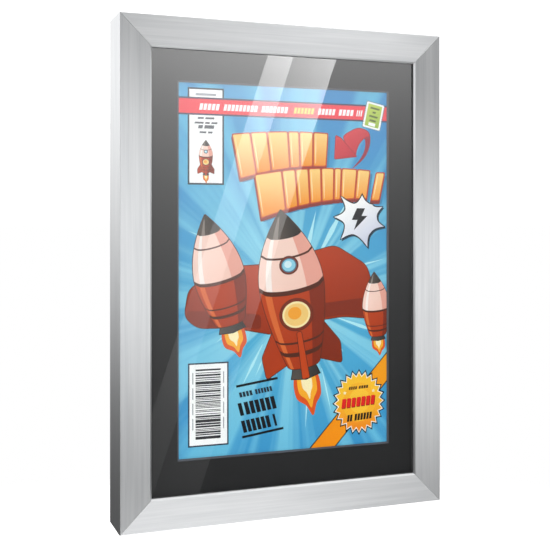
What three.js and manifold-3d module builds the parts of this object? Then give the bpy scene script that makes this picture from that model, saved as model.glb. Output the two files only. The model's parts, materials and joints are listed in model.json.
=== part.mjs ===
// Wall-hung display frame for one comic book: a wooden moulding clad in brushed metal,
// a bevelled mat, clear glazing, the comic, its packing, and a back panel under turn buttons.
//
// Millimetres. +X is the viewer's right, +Y points into the wall and +Z is up.
// The origin is the centre of the plane in which the rear bumper pads touch the wall.

import * as THREE from 'three';
import { mergeVertices } from 'three/addons/utils/BufferGeometryUtils.js';
import Module from 'manifold-3d';

const wasm = await Module();
wasm.setup();

// ---------------------------------------------------------------- driving dimensions

const INCH = 25.4;

// Glazing, mat and boards share one standard sheet size, held under the front lip.
const SHEET_W = 8 * INCH;
const SHEET_H = 12 * INCH;
const LIP_OVERLAP = INCH / 4;
const SHEET_PLAY = 1.5;

// The moulding.
const FACE_W = 21;
const RAIL_DEPTH = 1.25 * INCH;
const LIP_T = 2.5;
const CLADDING_T = 0.8;
const OUTER_EDGE_R = 0.6;
const INNER_CHAMFER = 1.1;
const LAYER_GAP = 0.1;
const MITRE_CLEARANCE = 0.08;

// The comic and the mat window in front of it.
const COMIC_W = 6.625 * INCH;
const COMIC_H = 10.25 * INCH;
const COVER_PAPER_T = 0.2;
const WINDOW_W = 154.4;
const WINDOW_H = 250;
const WINDOW_RISE = 1;
const MAT_T = 1.1;

// Hardware on the back.
const PAD_T = 4;
const PIVOT_INSET = 7;
const SIDE_BUTTON_Z = 60;
const HANGER_Z = 100;
const HANGER_SCREW_RISE = 16;

const FRAME_W = SHEET_W - 2 * LIP_OVERLAP + 2 * FACE_W;
const FRAME_H = SHEET_H - 2 * LIP_OVERLAP + 2 * FACE_W;
const RABBET_WALL = FACE_W - LIP_OVERLAP - SHEET_PLAY;
const FRONT_Y = -(RAIL_DEPTH + PAD_T);

// Each layer of the stack as [front, rear], in depth behind the moulding's front face.
const GLAZING = [2.6, 4.1];
const MAT = [4.2, 4.2 + MAT_T];
const SPACER = [5.5, 9];
const COMIC = [5.6, 7.6];
const SUPPORT_BOARD = [7.8, 8.5];
const BACKING_BOARD = [9.2, 14];
const FILLER_PADS = [[14.2, 21.1], [21.3, 28.2]];
const BACK_PANEL = [28.4, 31.4];
const TURN_BUTTON = [RAIL_DEPTH + LAYER_GAP, RAIL_DEPTH + LAYER_GAP + 1.2];

// ---------------------------------------------------------------- materials

const finish = (color, roughness, metalness) =>
  new THREE.MeshStandardMaterial({ color, roughness, metalness });

const BRUSHED_METAL = finish(0xc9cacb, 0.35, 1);
const RAW_WOOD = finish(0xc8a273, 0.8, 0);
const ACRYLIC = new THREE.MeshStandardMaterial({
  color: 0xf2f8fa, roughness: 0.05, metalness: 0, transparent: true, opacity: 0.2,
});
const CHARCOAL_BOARD = finish(0x2a2a2c, 0.9, 0);
const WHITE_FOAM = finish(0xeeeeea, 0.9, 0);
const PRINTED_PAPER = finish(0x4fb0d0, 0.35, 0);
const PAGE_PAPER = finish(0xe8e4d6, 0.8, 0);
const WHITE_BOARD = finish(0xf0efe9, 0.7, 0);
const BROWN_CARD = finish(0xb38b5d, 0.9, 0);
const HARDBOARD = finish(0x6f4a2b, 0.7, 0);
const ZINC_STEEL = finish(0xbfc2c4, 0.35, 1);
const DARK_RUBBER = finish(0x3a3a3c, 0.7, 0);

// ---------------------------------------------------------------- geometry helpers

const yAt = (depth) => FRONT_Y + depth;
const point = ([x, y]) => new THREE.Vector2(x, y);
const outlineOf = (points) => new THREE.Shape(points.map(point));

function rectangle(width, height, x = 0, y = 0) {
  const right = width / 2;
  const top = height / 2;
  return outlineOf([[x - right, y - top], [x + right, y - top], [x + right, y + top], [x - right, y + top]]);
}

// Extrudes an outline whose two axes become the world directions `across` and `up`.
function extrude(shape, length, across, up, curveSegments = 6) {
  const geometry = new THREE.ExtrudeGeometry(shape, {
    depth: length, steps: 1, bevelEnabled: false, curveSegments,
  });
  const along = new THREE.Vector3().crossVectors(across, up);
  return geometry.applyMatrix4(new THREE.Matrix4().makeBasis(across, up, along));
}

const X = new THREE.Vector3(1, 0, 0);
const Y = new THREE.Vector3(0, 1, 0);
const Z = new THREE.Vector3(0, 0, 1);

// A flat plate with its outline in X and Z, between two depths behind the front face.
function plate(shape, [frontDepth, rearDepth], curveSegments = 6) {
  const geometry = extrude(shape, rearDepth - frontDepth, X, Z, curveSegments);
  return geometry.translate(0, yAt(rearDepth), 0);
}

function toSolid(geometry) {
  const bare = geometry.clone();
  bare.deleteAttribute('normal');
  bare.deleteAttribute('uv');
  const merged = mergeVertices(bare);
  const corners = merged.index.array;
  const triangles = [];
  for (let i = 0; i < corners.length; i += 3) {
    const [a, b, c] = corners.slice(i, i + 3);
    if (a !== b && b !== c && c !== a) triangles.push(a, b, c);
  }
  return new wasm.Manifold(new wasm.Mesh({
    numProp: 3,
    vertProperties: merged.attributes.position.array,
    triVerts: Uint32Array.from(triangles),
  }));
}

function toGeometry(solid) {
  const { vertProperties, triVerts } = solid.getMesh();
  const geometry = new THREE.BufferGeometry();
  geometry.setAttribute('position', new THREE.BufferAttribute(vertProperties, 3));
  geometry.setIndex(new THREE.BufferAttribute(triVerts, 1));
  geometry.computeVertexNormals();
  return geometry;
}

function cut(geometry, tools) {
  let solid = toSolid(geometry);
  for (const tool of tools) solid = solid.subtract(toSolid(tool));
  return toGeometry(solid);
}

const frame = new THREE.Group();

function add(name, geometry, material, parent = frame) {
  const mesh = new THREE.Mesh(geometry, material);
  mesh.name = name;
  parent.add(mesh);
  return mesh;
}

// ---------------------------------------------------------------- screws

// A round-headed wood screw on the Y axis, its head's underside at y = 0 and its tip at -length.
function panHeadScrew({ shankR, headR, headH, length }) {
  const profile = [
    [0, -length],
    [shankR, -length + 2.5],
    [shankR, 0],
    [headR, 0],
    [headR, headH * 0.4],
    [headR * 0.8, headH * 0.85],
    [headR * 0.45, headH],
    [0, headH],
  ];
  const body = new THREE.LatheGeometry(profile.map(point), 16);
  const slot = { width: 0.9, length: headR * 1.25, depth: headH * 0.6 };
  const arms = [[slot.length, slot.width], [slot.width, slot.length]];
  const recess = arms.map(([x, z]) =>
    new THREE.BoxGeometry(x, slot.depth * 2, z).translate(0, headH, 0));
  return cut(body, recess);
}

function pilotHole(radius, depth) {
  return new THREE.CylinderGeometry(radius, radius, depth, 12).translate(0, -depth / 2, 0);
}

const BUTTON_SCREW = { shankR: 1.5, headR: 3.4, headH: 1.7, length: 12 };
const HANGER_SCREW = { shankR: 1.5, headR: 2.8, headH: 1.5, length: 11 };
const PILOT_R = 1.9;
const PILOT_DEPTH = 12;

// ---------------------------------------------------------------- the four mitred rails

// Every rail is built as the bottom one and turned about Y. `across` is the frame's size at
// right angles to the rail.
const SIDES = [
  { side: 'bottom', turn: 0, length: FRAME_W, across: FRAME_H },
  { side: 'right', turn: -Math.PI / 2, length: FRAME_H, across: FRAME_W },
  { side: 'top', turn: Math.PI, length: FRAME_W, across: FRAME_H },
  { side: 'left', turn: Math.PI / 2, length: FRAME_H, across: FRAME_W },
];

// Section points are [inward from the outer face, depth behind the front face].
function claddingSection() {
  const section = new THREE.Shape();
  section.moveTo(0, RAIL_DEPTH);
  section.lineTo(0, OUTER_EDGE_R);
  section.absarc(OUTER_EDGE_R, OUTER_EDGE_R, OUTER_EDGE_R, Math.PI, 1.5 * Math.PI, false);
  section.lineTo(FACE_W - INNER_CHAMFER, 0);
  section.lineTo(FACE_W, INNER_CHAMFER);
  section.lineTo(FACE_W, LIP_T);
  section.lineTo(FACE_W - CLADDING_T, LIP_T);
  section.lineTo(FACE_W - CLADDING_T, INNER_CHAMFER + CLADDING_T / 2);
  section.lineTo(FACE_W - INNER_CHAMFER - CLADDING_T / 2, CLADDING_T);
  section.lineTo(CLADDING_T, CLADDING_T);
  section.lineTo(CLADDING_T, RAIL_DEPTH);
  return section;
}

function coreSection() {
  const skin = CLADDING_T + LAYER_GAP;
  const lipEdge = FACE_W - skin;
  return outlineOf([
    [skin, RAIL_DEPTH],
    [skin, skin],
    [lipEdge - INNER_CHAMFER, skin],
    [lipEdge, skin + INNER_CHAMFER],
    [lipEdge, LIP_T],
    [RABBET_WALL, LIP_T],
    [RABBET_WALL, RAIL_DEPTH],
  ]);
}

// A bar along X whose ends are cut back at 45 degrees, so that it meets its neighbours.
function mitredBar(section, length, across) {
  const bar = extrude(section, length, Z, Y, 4).translate(length / 2, 0, 0);
  const position = bar.attributes.position;
  for (let i = 0; i < position.count; i += 1) {
    const end = Math.sign(position.getX(i));
    position.setX(i, end * (length / 2 - position.getZ(i) - MITRE_CLEARANCE));
  }
  return bar.translate(0, FRONT_Y, -across / 2);
}

// ---------------------------------------------------------------- corner V-nails

const NAIL_LEG = 4.6;
const NAIL_T = 0.6;
const NAIL_INSETS = { outer: 2.4, inner: 7.6 };
const NAIL_DEPTHS = [RAIL_DEPTH - 11, RAIL_DEPTH - 0.6];
const NAIL_CLEARANCE = 0.2;

// A right-angled nail with its apex on the mitre and one leg in each rail. `right` and `up`
// are the directions, 1 or -1, in which the legs run from the apex at x, z.
function vNail(x, z, right, up, clearance, depths) {
  const near = -NAIL_T / 2 - clearance;
  const thick = NAIL_T / 2 + clearance;
  const far = NAIL_LEG + clearance;
  const legs = [[near, near], [far, near], [far, thick], [thick, thick], [thick, far], [near, far]];
  return plate(outlineOf(legs.map(([a, b]) => [x + right * a, z + up * b])), depths, 1);
}

// ---------------------------------------------------------------- rails, with their cuts

function coreCuts(length, across, fasteners) {
  const cuts = [];
  const pocketDepths = [NAIL_DEPTHS[0] - NAIL_CLEARANCE, RAIL_DEPTH + 1];
  for (const end of [-1, 1]) {
    for (const inset of Object.values(NAIL_INSETS)) {
      const x = end * (length / 2 - inset);
      cuts.push(vNail(x, inset - across / 2, -end, 1, NAIL_CLEARANCE, pocketDepths));
    }
  }
  for (const x of fasteners) {
    const hole = pilotHole(PILOT_R, PILOT_DEPTH + 1);
    cuts.push(hole.translate(x, yAt(RAIL_DEPTH) + 1, PIVOT_INSET - across / 2));
  }
  return cuts;
}

// Distances along each rail, in its own turned frame, at which a screw goes in.
function fastenersOn(side) {
  const hangerHole = HANGER_Z + HANGER_SCREW_RISE;
  if (side === 'left') return [-SIDE_BUTTON_Z, SIDE_BUTTON_Z, -hangerHole];
  if (side === 'right') return [-SIDE_BUTTON_Z, SIDE_BUTTON_Z, hangerHole];
  return [0];
}

// ---------------------------------------------------------------- strap hangers and D-rings

const RING_WIRE_R = 0.8;
const RING_HALF_W = 5.95;
const RING_CORNER_R = 1.6;
const RING_LEG = 4;
const RING_SPLIT = 0.5;
const STRAP_W = 9;
const STRAP_T = 0.75;
const STRAP_RISE = 20.5;
const BARREL_BORE_R = 1;
const BARREL_R = BARREL_BORE_R + STRAP_T;
const BARREL_DEPTH = RAIL_DEPTH + LAYER_GAP + BARREL_R;
const CURL_END = THREE.MathUtils.degToRad(105);
const STRAP_CORNER = 2.6;

// The strap's section in depth and height, curled round the bar at depth 0, height 0.
function strapSection() {
  const section = new THREE.Shape();
  section.moveTo(-BARREL_R, STRAP_RISE);
  section.lineTo(-BARREL_R, 0);
  section.absarc(0, 0, BARREL_R, Math.PI, CURL_END, false);
  section.absarc(0, 0, BARREL_BORE_R, CURL_END, Math.PI, true);
  section.lineTo(-BARREL_BORE_R, STRAP_RISE);
  return section;
}

function strapGeometry() {
  const bent = extrude(strapSection(), STRAP_W, Y, Z, 10).translate(-STRAP_W / 2, 0, 0);
  const hole = pilotHole(PILOT_R, 2 * BARREL_R).translate(0, 0, HANGER_SCREW_RISE);
  const corners = [-1, 1].map((end) => {
    const x = end * STRAP_W / 2;
    const inward = x - end * STRAP_CORNER;
    const triangle = [[inward, STRAP_RISE], [x, STRAP_RISE + 1], [x + end, STRAP_RISE],
      [x, STRAP_RISE - STRAP_CORNER]];
    return extrude(outlineOf(triangle), 4 * BARREL_R, X, Z, 1).translate(0, 2 * BARREL_R, 0);
  });
  return cut(bent, [hole, ...corners]);
}

// The ring's bar lies on the X axis and its bow hangs below. It is split in the middle of the bar.
function ringGeometry() {
  const turnX = RING_HALF_W - RING_CORNER_R;
  const quarter = Math.PI / 2;
  const line = new THREE.Path();
  line.moveTo(RING_SPLIT / 2, 0);
  line.lineTo(turnX, 0);
  line.absarc(turnX, -RING_CORNER_R, RING_CORNER_R, quarter, 0, true);
  line.lineTo(RING_HALF_W, -RING_LEG);
  line.absarc(0, -RING_LEG, RING_HALF_W, 0, Math.PI, true);
  line.lineTo(-RING_HALF_W, -RING_CORNER_R);
  line.absarc(-turnX, -RING_CORNER_R, RING_CORNER_R, Math.PI, quarter, true);
  line.lineTo(-RING_SPLIT / 2, 0);
  const steps = 40;
  const route = line.getSpacedPoints(steps).map((p) => new THREE.Vector3(p.x, 0, p.y));
  const wire = new THREE.Shape();
  wire.absarc(0, 0, RING_WIRE_R, 0, 2 * Math.PI, false);
  return new THREE.ExtrudeGeometry(wire, {
    steps, curveSegments: 4, extrudePath: new THREE.CatmullRomCurve3(route),
  });
}

for (const { side, turn, length, across } of SIDES) {
  const rail = new THREE.Group();
  rail.rotation.y = turn;
  frame.add(rail);
  const core = mitredBar(coreSection(), length, across);
  add(`rail_core_${side}`, cut(core, coreCuts(length, across, fastenersOn(side))), RAW_WOOD, rail);
  add(`rail_cladding_${side}`, mitredBar(claddingSection(), length, across), BRUSHED_METAL, rail);
}

for (const [corner, right, up] of [
  ['bottom_left', 1, 1], ['bottom_right', -1, 1], ['top_left', 1, -1], ['top_right', -1, -1],
]) {
  for (const [place, inset] of Object.entries(NAIL_INSETS)) {
    const x = -right * (FRAME_W / 2 - inset);
    const z = -up * (FRAME_H / 2 - inset);
    add(`v_nail_${corner}_${place}`, vNail(x, z, right, up, 0, NAIL_DEPTHS), ZINC_STEEL);
  }
}

// ---------------------------------------------------------------- glazing, mat and spacers

const sheet = (depths) => plate(rectangle(SHEET_W, SHEET_H), depths, 1);

add('acrylic_glazing', sheet(GLAZING), ACRYLIC);

// The window's edge is cut at 45 degrees, so its rear outline is smaller by the board's thickness.
function matGeometry() {
  const board = rectangle(SHEET_W, SHEET_H);
  board.holes.push(rectangle(WINDOW_W, WINDOW_H, 0, WINDOW_RISE));
  const geometry = plate(board, MAT, 1);
  const position = geometry.attributes.position;
  const middle = yAt((MAT[0] + MAT[1]) / 2);
  for (let i = 0; i < position.count; i += 1) {
    const x = position.getX(i);
    const z = position.getZ(i);
    const onWindow = Math.abs(x) < SHEET_W / 2 - 1;
    if (onWindow && position.getY(i) > middle) {
      position.setX(i, x - Math.sign(x) * MAT_T);
      position.setZ(i, z - Math.sign(z) * MAT_T);
    }
  }
  return geometry;
}

add('mat_board', matGeometry(), CHARCOAL_BOARD);

const STRIP_W = 12;
const STRIP_INSET = 0.6;
for (const end of [-1, 1]) {
  const crossZ = end * (SHEET_H / 2 - STRIP_INSET - STRIP_W / 2);
  const cross = rectangle(SHEET_W - 2 * STRIP_INSET, STRIP_W, 0, crossZ);
  add(`spacer_strip_${end > 0 ? 'top' : 'bottom'}`, plate(cross, SPACER, 1), WHITE_FOAM);
  const uprightX = end * (SHEET_W / 2 - STRIP_INSET - STRIP_W / 2);
  const uprightH = SHEET_H - 2 * (STRIP_INSET + STRIP_W + 0.4);
  const upright = rectangle(STRIP_W, uprightH, uprightX, 0);
  add(`spacer_strip_${end > 0 ? 'right' : 'left'}`, plate(upright, SPACER, 1), WHITE_FOAM);
}

// ---------------------------------------------------------------- the comic

const COMIC_LEFT = -COMIC_W / 2;
const STAPLE = { z: 70, length: 11, wire: 0.4, reach: 1.4, clearance: 0.15 };

// Crown outside the spine, with a leg at each end running through the fold.
function stapleGeometry(z, clearance) {
  const half = STAPLE.length / 2 + clearance;
  const wire = STAPLE.wire + clearance;
  const back = COMIC_LEFT - LAYER_GAP - wire;
  const tip = COMIC_LEFT + STAPLE.reach + clearance;
  const bracket = outlineOf([
    [back, z - half], [tip, z - half], [tip, z - half + wire + clearance],
    [back + wire, z - half + wire + clearance], [back + wire, z + half - wire - clearance],
    [tip, z + half - wire - clearance], [tip, z + half], [back, z + half],
  ]);
  const middle = (COMIC[0] + COMIC[1]) / 2;
  return plate(bracket, [middle - wire / 2, middle + wire / 2], 1);
}

// One folded sheet: front cover, spine and back cover.
function coverGeometry() {
  const [front, back] = COMIC.map(yAt);
  const right = COMIC_W / 2;
  const inner = COMIC_LEFT + COVER_PAPER_T;
  const fold = outlineOf([
    [COMIC_LEFT, front], [right, front], [right, front + COVER_PAPER_T],
    [inner, front + COVER_PAPER_T], [inner, back - COVER_PAPER_T],
    [right, back - COVER_PAPER_T], [right, back], [COMIC_LEFT, back],
  ]);
  return extrude(fold, COMIC_H, X, Y, 1).translate(0, 0, -COMIC_H / 2);
}

function pageBlockGeometry() {
  const margin = COVER_PAPER_T + LAYER_GAP;
  const pages = rectangle(COMIC_W - margin - 0.3, COMIC_H - 0.6, (margin - 0.3) / 2, 0);
  return plate(pages, [COMIC[0] + margin, COMIC[1] - margin], 1);
}

const stapleSlots = [-STAPLE.z, STAPLE.z].map((z) => stapleGeometry(z, STAPLE.clearance));
add('comic_cover', cut(coverGeometry(), stapleSlots), PRINTED_PAPER);
add('comic_page_block', cut(pageBlockGeometry(), stapleSlots), PAGE_PAPER);
add('comic_staple_lower', stapleGeometry(-STAPLE.z, 0), ZINC_STEEL);
add('comic_staple_upper', stapleGeometry(STAPLE.z, 0), ZINC_STEEL);

// ---------------------------------------------------------------- boards behind the comic

const SUPPORT_W = 6.75 * INCH;
const SUPPORT_H = 10.5 * INCH;
add('comic_support_board', plate(rectangle(SUPPORT_W, SUPPORT_H), SUPPORT_BOARD, 1), WHITE_BOARD);
add('foam_backing_board', sheet(BACKING_BOARD), WHITE_BOARD);
FILLER_PADS.forEach((depths, i) => {
  add(`corrugated_filler_pad_${i + 1}`, sheet(depths), BROWN_CARD);
});
add('back_panel', sheet(BACK_PANEL), HARDBOARD);

// ---------------------------------------------------------------- turn buttons

const BUTTON_L = 24;
const BUTTON_W = 9;
const BUTTON_HOLE_R = 1.9;

// The pivot hole is at the origin and the button reaches along +Z.
function buttonOutline() {
  const r = BUTTON_W / 2;
  const reach = BUTTON_L - BUTTON_W;
  const outline = new THREE.Shape();
  outline.absarc(0, 0, r, Math.PI, 2 * Math.PI, false);
  outline.absarc(0, reach, r, 0, Math.PI, false);
  const hole = new THREE.Path();
  hole.absarc(0, 0, BUTTON_HOLE_R, 0, 2 * Math.PI, true);
  outline.holes.push(hole);
  return outline;
}

const sideX = FRAME_W / 2 - PIVOT_INSET;
const endZ = FRAME_H / 2 - PIVOT_INSET;
const BUTTONS = [
  { place: 'bottom', x: 0, z: -endZ, turn: 0 },
  { place: 'right_lower', x: sideX, z: -SIDE_BUTTON_Z, turn: -Math.PI / 2 },
  { place: 'right_upper', x: sideX, z: SIDE_BUTTON_Z, turn: -Math.PI / 2 },
  { place: 'top', x: 0, z: endZ, turn: Math.PI },
  { place: 'left_upper', x: -sideX, z: SIDE_BUTTON_Z, turn: Math.PI / 2 },
  { place: 'left_lower', x: -sideX, z: -SIDE_BUTTON_Z, turn: Math.PI / 2 },
];

for (const { place, x, z, turn } of BUTTONS) {
  const pivot = new THREE.Group();
  pivot.position.set(x, 0, z);
  pivot.rotation.y = turn;
  frame.add(pivot);
  add(`turn_button_${place}`, plate(buttonOutline(), TURN_BUTTON, 8), ZINC_STEEL, pivot);
  const screw = add(`turn_button_screw_${place}`, panHeadScrew(BUTTON_SCREW), ZINC_STEEL, pivot);
  screw.position.y = yAt(TURN_BUTTON[1] + LAYER_GAP);
}

// ---------------------------------------------------------------- hangers

for (const [side, x] of [['left', -sideX], ['right', sideX]]) {
  const hanger = new THREE.Group();
  hanger.position.set(x, yAt(BARREL_DEPTH), HANGER_Z);
  frame.add(hanger);
  add(`hanger_strap_${side}`, strapGeometry(), ZINC_STEEL, hanger);
  add(`hanger_ring_${side}`, ringGeometry(), ZINC_STEEL, hanger);
  const screw = add(`hanger_screw_${side}`, panHeadScrew(HANGER_SCREW), ZINC_STEEL, hanger);
  screw.position.set(0, STRAP_T - BARREL_R + LAYER_GAP, HANGER_SCREW_RISE);
}

// ---------------------------------------------------------------- rear bumper pads

const PAD_R = 5;

// A low rubber stud with a flat rear face, standing on the rail's rear.
function bumperPad() {
  const [front, rear] = [RAIL_DEPTH + LAYER_GAP, RAIL_DEPTH + PAD_T].map(yAt);
  const profile = [
    [0, front],
    [PAD_R, front],
    [PAD_R, front + PAD_T * 0.4],
    [PAD_R * 0.85, rear - PAD_T * 0.1],
    [PAD_R * 0.72, rear],
    [0, rear],
  ];
  return new THREE.LatheGeometry(profile.map(point), 20);
}

for (const [side, x] of [['left', -sideX], ['right', sideX]]) {
  add(`bumper_pad_${side}`, bumperPad(), DARK_RUBBER).position.set(x, 0, -endZ);
}

export default frame;
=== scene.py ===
"""Looks of the comic display frame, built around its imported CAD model.

Metres, as in the CAD: +X is the viewer's right, +Y points into the wall and +Z is up.
The printed cover alone is drawn in millimetres from the comic's centre.
"""

import json
import math
import random

import bmesh
import bpy
import numpy as np
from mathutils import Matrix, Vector
from mathutils.geometry import delaunay_2d_cdt


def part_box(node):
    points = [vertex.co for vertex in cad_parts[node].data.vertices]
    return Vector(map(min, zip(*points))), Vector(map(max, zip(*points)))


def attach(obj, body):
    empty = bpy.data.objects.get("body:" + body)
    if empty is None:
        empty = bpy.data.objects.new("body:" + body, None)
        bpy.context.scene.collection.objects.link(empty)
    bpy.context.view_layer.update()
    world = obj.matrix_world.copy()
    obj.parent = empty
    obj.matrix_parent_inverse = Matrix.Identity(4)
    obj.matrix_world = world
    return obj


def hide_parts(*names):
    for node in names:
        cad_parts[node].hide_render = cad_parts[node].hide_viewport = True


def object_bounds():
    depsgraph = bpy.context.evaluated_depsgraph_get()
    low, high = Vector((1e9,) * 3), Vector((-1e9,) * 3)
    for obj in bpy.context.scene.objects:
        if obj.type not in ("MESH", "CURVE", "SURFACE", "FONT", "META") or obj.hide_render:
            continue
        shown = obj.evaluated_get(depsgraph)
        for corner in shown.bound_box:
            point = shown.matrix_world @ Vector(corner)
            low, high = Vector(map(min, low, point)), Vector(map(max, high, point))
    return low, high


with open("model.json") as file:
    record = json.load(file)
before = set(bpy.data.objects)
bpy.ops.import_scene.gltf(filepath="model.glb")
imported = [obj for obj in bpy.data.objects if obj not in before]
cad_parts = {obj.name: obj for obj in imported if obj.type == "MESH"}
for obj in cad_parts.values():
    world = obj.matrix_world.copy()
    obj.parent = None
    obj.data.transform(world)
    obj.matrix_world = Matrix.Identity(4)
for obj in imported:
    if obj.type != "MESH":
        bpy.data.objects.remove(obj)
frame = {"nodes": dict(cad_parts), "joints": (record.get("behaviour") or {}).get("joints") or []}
cad_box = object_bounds()

MM = 0.001
SIDES = ("bottom", "right", "top", "left")

# ---- shader helpers


def put(tree, kind, inputs=None, **settings):
    """Adds a shader node. An input is a plain value or another node's output socket."""
    made = tree.nodes.new("ShaderNode" + kind)
    for name, value in settings.items():
        setattr(made, name, value)
    for name, value in (inputs or {}).items():
        if isinstance(value, bpy.types.NodeSocket):
            tree.links.new(value, made.inputs[name])
        else:
            made.inputs[name].default_value = value
    return made


def new_material(name):
    material = bpy.data.materials.new(name)
    material.use_nodes = True
    material.node_tree.nodes.clear()
    return material, material.node_tree


def surface(tree, shader):
    put(tree, "OutputMaterial", {"Surface": shader.outputs[0]})


def stuff(material, colour, roughness, relief, more=None):
    """Finishes an opaque material with one principled shader. `relief` is its height socket, depth
    and strength, and `more` has any other inputs."""
    tree = material.node_tree
    inputs = {"Base Color": colour, "Roughness": roughness, "Normal": bump(tree, *relief)}
    surface(tree, put(tree, "BsdfPrincipled", {**inputs, **(more or {})}))
    return material


def place(tree):
    """The point on the piece, in metres in its own frame."""
    return put(tree, "TexCoord").outputs["Object"]


def distance_along(tree, axis):
    return put(tree, "SeparateXYZ", {0: place(tree)}).outputs[axis]


def grain(along, width, length):
    """A noise cell drawn out along one axis (0 is X, 2 is Z), from its size in millimetres."""
    cell = [width * MM] * 3
    cell[along] = length * MM
    return tuple(cell)


def noise(tree, cell, detail=2.0, vector=None):
    """Smooth noise from 0 to 1. `cell` is its grain in metres, along X, Y and Z or the same in all."""
    sizes = cell if isinstance(cell, tuple) else (cell,) * 3
    scale = [1 / size for size in sizes]
    mapping = put(tree, "Mapping", {"Vector": vector or place(tree), "Scale": scale})
    texture = put(tree, "TexNoise", {"Vector": mapping.outputs[0], "Scale": 1.0, "Detail": detail})
    return texture.outputs[0]


def maths(tree, operation, a, b=0.0, clamp=False):
    return put(tree, "Math", {0: a, 1: b}, operation=operation, use_clamp=clamp).outputs[0]


def spread(tree, value, low, high, start=0.0, end=1.0):
    """Carries a value in start..end to low..high, and holds it there outside."""
    inputs = {"Value": value, "From Min": start, "From Max": end, "To Min": low, "To Max": high}
    return put(tree, "MapRange", inputs).outputs[0]


def blend_colours(tree, factor, first, second):
    """Mixes two colours, each a #rrggbb code, four numbers or a socket."""
    inputs = {0: factor, 6: first, 7: second}
    for socket in (6, 7):
        if isinstance(inputs[socket], str):
            inputs[socket] = (*rgb(inputs[socket]), 1.0)
    return put(tree, "Mix", inputs, data_type="RGBA").outputs[2]


def weigh(tree, *pairs):
    """The sum of (value, weight) pairs."""
    total = 0.0
    for value, weight in pairs:
        total = maths(tree, "ADD", maths(tree, "MULTIPLY", value, weight), total)
    return total


def bump(tree, height, depth, strength=1.0):
    inputs = {"Height": height, "Distance": depth, "Strength": strength}
    return put(tree, "Bump", inputs).outputs[0]


def facing_y(tree):
    """How squarely a face looks along Y: 1 on front and rear faces, 0.7 on a bevel, 0 on edges."""
    normal = put(tree, "NewGeometry").outputs["True Normal"]
    return maths(tree, "ABSOLUTE", put(tree, "SeparateXYZ", {0: normal}).outputs["Y"])


def rgb(code):
    """A linear colour from a #rrggbb code."""
    channels = [int(code[i:i + 2], 16) / 255 for i in (1, 3, 5)]
    return tuple(c / 12.92 if c < 0.04045 else ((c + 0.055) / 1.055) ** 2.4 for c in channels)


# ---- materials


def brushed_metal(name, along):
    """Satin metal, scratched along one axis, with slow changes of tone."""
    material, tree = new_material(name)
    fine = noise(tree, grain(along, 0.35, 40), 3.0)
    streaks = noise(tree, grain(along, 2.2, 90), 2.0)
    clouds = noise(tree, grain(along, 14, 60), 1.0)
    tone = weigh(tree, (fine, 0.35), (streaks, 0.45), (clouds, 0.2))
    colour = blend_colours(tree, spread(tree, tone, 0, 1, 0.3, 0.7), "#bfc1c3", "#d6d7d8")
    direction = [0.0, 0.0, 0.0]
    direction[along] = 1.0
    return stuff(material, colour, spread(tree, streaks, 0.27, 0.35), (fine, 0.01 * MM, 0.5), {
        "Metallic": 1.0,
        "Anisotropic": 0.7,
        "Anisotropic Rotation": 0.25,
        "Tangent": put(tree, "CombineXYZ", dict(enumerate(direction))).outputs[0],
    })


def raw_wood(name, along):
    """Pale, planed softwood with its growth rings drawn out along the rail."""
    material, tree = new_material(name)
    wander = noise(tree, grain(along, 5, 120), 3.0)
    rings = maths(tree, "FRACT", maths(tree, "MULTIPLY", wander, 11.0))
    fibres = noise(tree, grain(along, 0.3, 9), 3.0)
    tone = weigh(tree, (rings, 0.45), (fibres, 0.55))
    colour = blend_colours(tree, tone, "#dcbd8d", "#ab7f4b")
    return stuff(material, colour, spread(tree, fibres, 0.6, 0.85), (fibres, 0.06 * MM, 0.6))


def clear_acrylic():
    """Thin glazing: clear, with one sharp reflection that stands for both of its faces."""
    material, tree = new_material("clear_acrylic")
    one_face = put(tree, "Fresnel", {"IOR": 1.6}).outputs[0]
    outside = maths(tree, "SUBTRACT", 1.0, put(tree, "NewGeometry").outputs["Backfacing"])
    both_faces = maths(tree, "MULTIPLY", one_face, 2.0)
    wipes = noise(tree, (40 * MM, 40 * MM, 9 * MM), 3.0)
    tint = blend_colours(tree, wipes, (0.975, 0.985, 0.983, 1.0), (0.995, 0.998, 0.997, 1.0))
    gloss = put(tree, "BsdfGlossy", {"Roughness": 0.0})
    clear = put(tree, "BsdfTransparent", {"Color": tint})
    share = maths(tree, "MULTIPLY", both_faces, outside)
    surface(tree, put(tree, "MixShader", {0: share, 1: clear.outputs[0], 2: gloss.outputs[0]}))
    return material


def charcoal_mat():
    """Charcoal board with a fine tooth. The cut bevel of the window shows its pale core."""
    material, tree = new_material("charcoal_mat")
    tooth = noise(tree, 0.5 * MM, 4.0)
    fibres = noise(tree, (3 * MM, 3 * MM, 0.4 * MM), 3.0)
    tone = weigh(tree, (tooth, 0.6), (fibres, 0.4))
    face = blend_colours(tree, tone, "#202021", "#2b2b2c")
    core = blend_colours(tree, tone, "#494a4f", "#64656b")
    squareness = facing_y(tree)
    on_bevel = maths(tree, "COMPARE", squareness, 0.707)
    on_bevel.node.inputs[2].default_value = 0.2
    colour = blend_colours(tree, on_bevel, face, core)
    relief = (tone, 0.04 * MM, 0.5)
    return stuff(material, colour, spread(tree, tooth, 0.8, 0.95), relief, {"Specular IOR Level": 0.15})


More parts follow.
